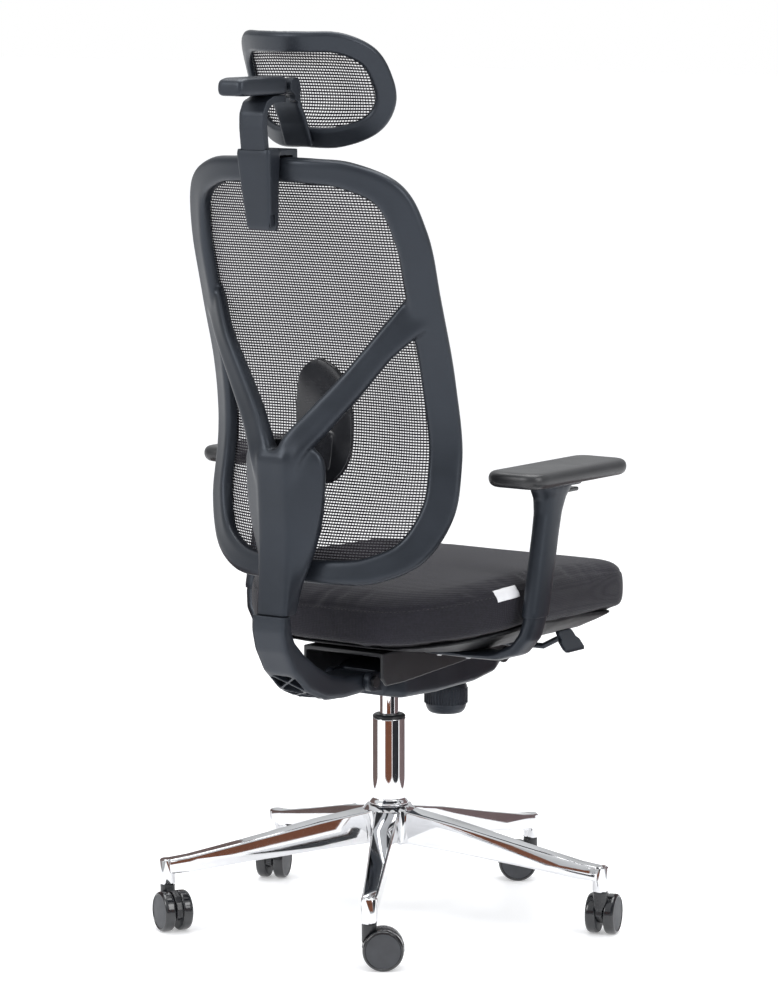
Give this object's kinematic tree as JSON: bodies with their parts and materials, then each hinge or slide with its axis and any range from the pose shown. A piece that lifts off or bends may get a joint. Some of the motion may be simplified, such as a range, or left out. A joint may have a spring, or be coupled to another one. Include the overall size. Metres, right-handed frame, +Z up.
{
  "type": "swivel office chair",
  "caption": "Swivel office chair with a star base on twin-wheel casters, gas lift, upholstered seat, adjustable armrests, framed mesh back and mesh headrest.",
  "frame": {"origin": "Centre of the plan box, on the floor under the chair.", "axes": "+Z up, the sitter faces -Y, the sitter's right is -X."},
  "size_m": [0.6898, 0.7475, 1.3356],
  "materials": {
    "polished_base": "mirror polished",
    "chrome": "mirror",
    "steel": "bright zinc",
    "black_steel": "semi-matt black powder coat",
    "black_nylon": "fine satin texture",
    "glossy_black": "glossy",
    "shell_plastic": "satin",
    "wheel_nylon": "glossy rim and satin face",
    "seat_fabric": "fine plain weave",
    "black_mesh": "open woven mesh",
    "pad_foam": "satin polyurethane skin"
  },
  "bodies": {
    "base": {"star_base": "polished_base", "lift_tube": "chrome", "lift_bushing": "glossy_black"},
    "piston": {"lift_piston": "chrome"},
    "mechanism": {"tilt_housing": "black_nylon", "back_pivot_axle": "black_steel", "seat_pivot_axle": "black_steel"},
    "knob": {"tension_knob": "black_nylon"},
    "seat": {"seat_plate": "black_steel", "seat_shell": "shell_plastic", "seat_cushion": "seat_fabric", "left_arm_bracket": "black_nylon", "right_arm_bracket": "black_nylon"},
    "height_lever": {"height_lever": "black_nylon"},
    "tilt_lock_lever": {"tilt_lock_lever": "black_nylon"},
    "back": {"back_lever": "black_nylon", "back_frame": "black_nylon", "back_mesh": "black_mesh", "lumbar_guide": "glossy_black", "headrest_holder": "black_nylon"},
    "lumbar": {"lumbar_pad": "glossy_black"},
    "headrest_stem": {"headrest_stem": "black_nylon"},
    "headrest_arm": {"headrest_arm": "black_nylon"},
    "headrest": {"headrest_bracket": "black_nylon", "headrest_frame": "black_nylon", "headrest_mesh": "black_mesh"},
    "caster1": {"caster1_hood": "glossy_black", "caster1_stem": "steel"},
    "wheels1": {"caster1_wheel_a": "wheel_nylon", "caster1_wheel_b": "wheel_nylon", "caster1_axle": "steel"},
    "caster2": {"caster2_hood": "glossy_black", "caster2_stem": "steel"},
    "wheels2": {"caster2_wheel_a": "wheel_nylon", "caster2_wheel_b": "wheel_nylon", "caster2_axle": "steel"},
    "caster3": {"caster3_hood": "glossy_black", "caster3_stem": "steel"},
    "wheels3": {"caster3_wheel_a": "wheel_nylon", "caster3_wheel_b": "wheel_nylon", "caster3_axle": "steel"},
    "caster4": {"caster4_hood": "glossy_black", "caster4_stem": "steel"},
    "wheels4": {"caster4_wheel_a": "wheel_nylon", "caster4_wheel_b": "wheel_nylon", "caster4_axle": "steel"},
    "caster5": {"caster5_hood": "glossy_black", "caster5_stem": "steel"},
    "wheels5": {"caster5_wheel_a": "wheel_nylon", "caster5_wheel_b": "wheel_nylon", "caster5_axle": "steel"},
    "left_sleeve": {"left_arm_sleeve": "black_nylon"},
    "left_button": {"left_arm_button": "glossy_black"},
    "left_carrier": {"left_pad_carrier": "black_nylon"},
    "left_pad": {"left_arm_pad": "pad_foam"},
    "right_sleeve": {"right_arm_sleeve": "black_nylon"},
    "right_button": {"right_arm_button": "glossy_black"},
    "right_carrier": {"right_pad_carrier": "black_nylon"},
    "right_pad": {"right_arm_pad": "pad_foam"}
  },
  "joints": [
    {"name": "caster1_swivel", "type": "hinge", "parent": "base", "child": "caster1", "pos_m": [-0.16337, 0.27829, 0.06], "axis": [0, 0, 1], "continuous": true},
    {"name": "caster1_roll", "type": "hinge", "parent": "caster1", "child": "wheels1", "pos_m": [-0.17966, 0.26668, 0.03], "axis": [0.5807, -0.8141, 0], "continuous": true},
    {"name": "caster2_swivel", "type": "hinge", "parent": "base", "child": "caster2", "pos_m": [-0.32101, -0.08773, 0.06], "axis": [0, 0, 1], "continuous": true},
    {"name": "caster2_roll", "type": "hinge", "parent": "caster2", "child": "wheels2", "pos_m": [-0.31499, -0.1068, 0.03], "axis": [0.9537, 0.3007, 0], "continuous": true},
    {"name": "caster3_swivel", "type": "hinge", "parent": "base", "child": "caster3", "pos_m": [-0.02161, -0.35075, 0.06], "axis": [0, 0, 1], "continuous": true},
    {"name": "caster3_roll", "type": "hinge", "parent": "caster3", "child": "wheels3", "pos_m": [-0.00533, -0.33914, 0.03], "axis": [-0.5807, 0.8141, 0], "continuous": true},
    {"name": "caster4_swivel", "type": "hinge", "parent": "base", "child": "caster4", "pos_m": [0.32105, -0.14729, 0.06], "axis": [0, 0, 1], "continuous": true},
    {"name": "caster4_roll", "type": "hinge", "parent": "caster4", "child": "wheels4", "pos_m": [0.31405, -0.12856, 0.03], "axis": [-0.9367, -0.3502, 0], "continuous": true},
    {"name": "caster5_swivel", "type": "hinge", "parent": "base", "child": "caster5", "pos_m": [0.23344, 0.24148, 0.06], "axis": [0, 0, 1], "continuous": true},
    {"name": "caster5_roll", "type": "hinge", "parent": "caster5", "child": "wheels5", "pos_m": [0.21603, 0.25133, 0.03], "axis": [-0.4924, -0.8704, 0], "continuous": true},
    {"name": "lift", "type": "slide", "parent": "base", "child": "piston", "axis": [0, 0, 1], "range_m": [-0.02, 0.075]},
    {"name": "seat_swivel", "type": "hinge", "parent": "piston", "child": "mechanism", "pos_m": [0.0097, -0.0132, 0.36], "axis": [0, 0, 1], "continuous": true},
    {"name": "tension_knob_turn", "type": "hinge", "parent": "mechanism", "child": "knob", "pos_m": [0.0097, -0.1632, 0.3], "axis": [0, 0, 1], "continuous": true},
    {"name": "recline", "type": "hinge", "parent": "mechanism", "child": "back", "pos_m": [0.0097, 0.0818, 0.376], "axis": [-1, 0, 0], "range_deg": [0, 20], "stiffness_Nm_per_rad": 60, "springref_deg": -28.65},
    {"name": "seat_tilt", "type": "hinge", "parent": "mechanism", "child": "seat", "pos_m": [0.0097, -0.2182, 0.382], "axis": [-1, 0, 0], "range_deg": [0, 4]},
    {"name": "height_lever_lift", "type": "hinge", "parent": "seat", "child": "height_lever", "pos_m": [-0.0568, -0.1622, 0.408], "axis": [0, 1, 0], "range_deg": [0, 3], "stiffness_Nm_per_rad": 2, "springref_deg": -8.59},
    {"name": "tilt_lock_lift", "type": "hinge", "parent": "seat", "child": "tilt_lock_lever", "pos_m": [0.0762, -0.1622, 0.408], "axis": [0, -1, 0], "range_deg": [0, 3]},
    {"name": "left_armrest_height", "type": "slide", "parent": "seat", "child": "left_sleeve", "axis": [0, -0.2113, 0.9774], "range_m": [0, 0.07]},
    {"name": "left_armrest_button", "type": "slide", "parent": "left_sleeve", "child": "left_button", "axis": [0, 0, 1], "range_m": [0, 0.004], "stiffness_N_per_m": 300, "springref_m": -0.004},
    {"name": "left_pad_swivel", "type": "hinge", "parent": "left_sleeve", "child": "left_carrier", "pos_m": [0.2637, -0.06677, 0.672], "axis": [0, 0, 1], "range_deg": [-15, 15]},
    {"name": "left_pad_depth", "type": "slide", "parent": "left_carrier", "child": "left_pad", "axis": [0, 1, 0], "range_m": [-0.025, 0.025]},
    {"name": "right_armrest_height", "type": "slide", "parent": "seat", "child": "right_sleeve", "axis": [0, -0.2113, 0.9774], "range_m": [0, 0.07]},
    {"name": "right_armrest_button", "type": "slide", "parent": "right_sleeve", "child": "right_button", "axis": [0, 0, 1], "range_m": [0, 0.004], "stiffness_N_per_m": 300, "springref_m": -0.004},
    {"name": "right_pad_swivel", "type": "hinge", "parent": "right_sleeve", "child": "right_carrier", "pos_m": [-0.2443, -0.06677, 0.672], "axis": [0, 0, 1], "range_deg": [-15, 15]},
    {"name": "right_pad_depth", "type": "slide", "parent": "right_carrier", "child": "right_pad", "axis": [0, 1, 0], "range_m": [-0.025, 0.025]},
    {"name": "lumbar_height", "type": "slide", "parent": "back", "child": "lumbar", "axis": [0, 0, 1], "range_m": [-0.005, 0.015]},
    {"name": "headrest_height", "type": "slide", "parent": "back", "child": "headrest_stem", "axis": [0, 0.1219, 0.9925], "range_m": [-0.02, 0.045]},
    {"name": "headrest_depth", "type": "slide", "parent": "headrest_stem", "child": "headrest_arm", "axis": [0, 1, 0], "range_m": [-0.01, 0.012]},
    {"name": "headrest_tilt", "type": "hinge", "parent": "headrest_arm", "child": "headrest", "pos_m": [0.0097, 0.2488, 1.258], "axis": [1, 0, 0], "range_deg": [-20, 12]}
  ],
  "couplings": [
    {"joint": "seat_tilt", "follows": "recline", "ratio": 0.2}
  ]
}
